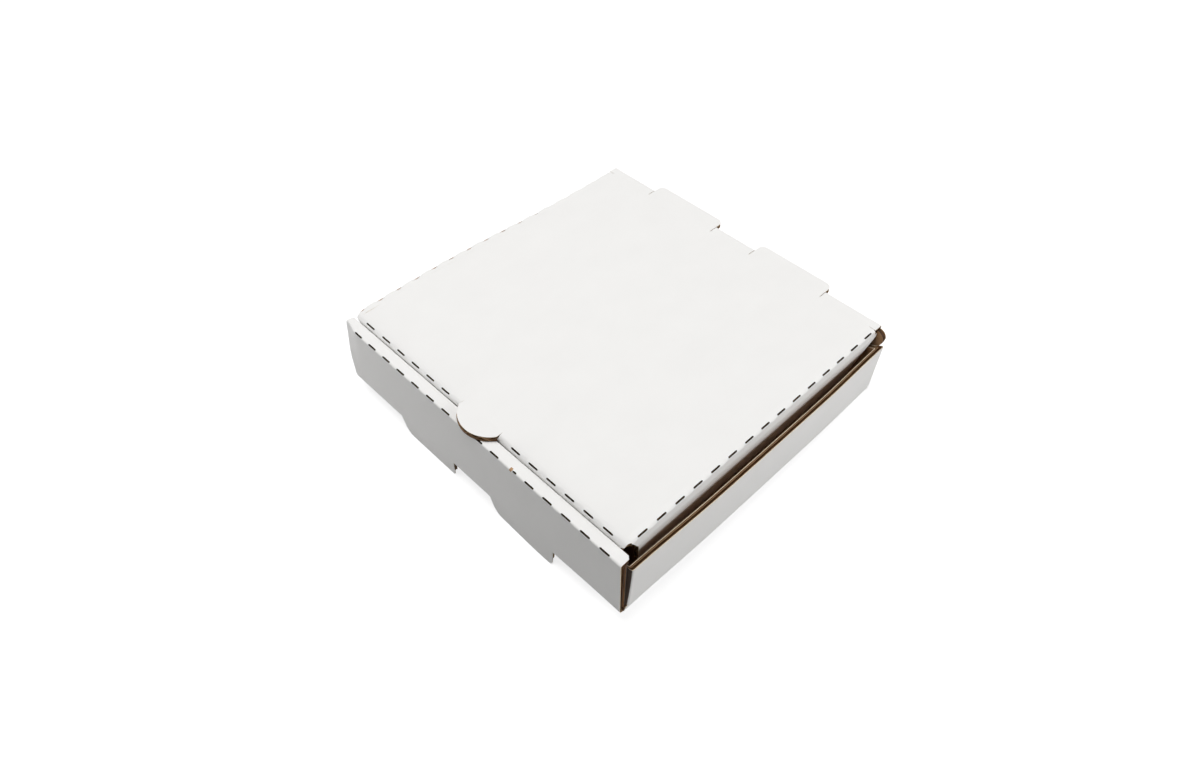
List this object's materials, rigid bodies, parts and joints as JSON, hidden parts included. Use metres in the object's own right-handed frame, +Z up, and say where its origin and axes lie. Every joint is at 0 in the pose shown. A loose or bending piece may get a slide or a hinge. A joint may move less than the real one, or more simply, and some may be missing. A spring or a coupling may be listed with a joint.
{
  "type": "pizza box",
  "caption": "Square folding pizza box of white-faced corrugated board with a rolled double front wall, tuck-in lid and thumb tab.",
  "frame": {"origin": "under the middle of the closed box, on the level of the two front feet", "axes": "+Z up, -Y towards the front wall with the thumb tab, +X to the right seen from the front"},
  "size_m": [0.2186, 0.2138, 0.0533],
  "materials": {
    "tray_board": "matt",
    "lid_board": "matt"
  },
  "bodies": {
    "tray": {"tray": "tray_board"},
    "lid": {"lid": "lid_board"}
  },
  "joints": [
    {"name": "lid_hinge", "type": "hinge", "parent": "tray", "child": "lid", "pos_m": [0, 0.101, 0.05185], "axis": [-1, 0, 0], "range_deg": [0, 180]}
  ]
}
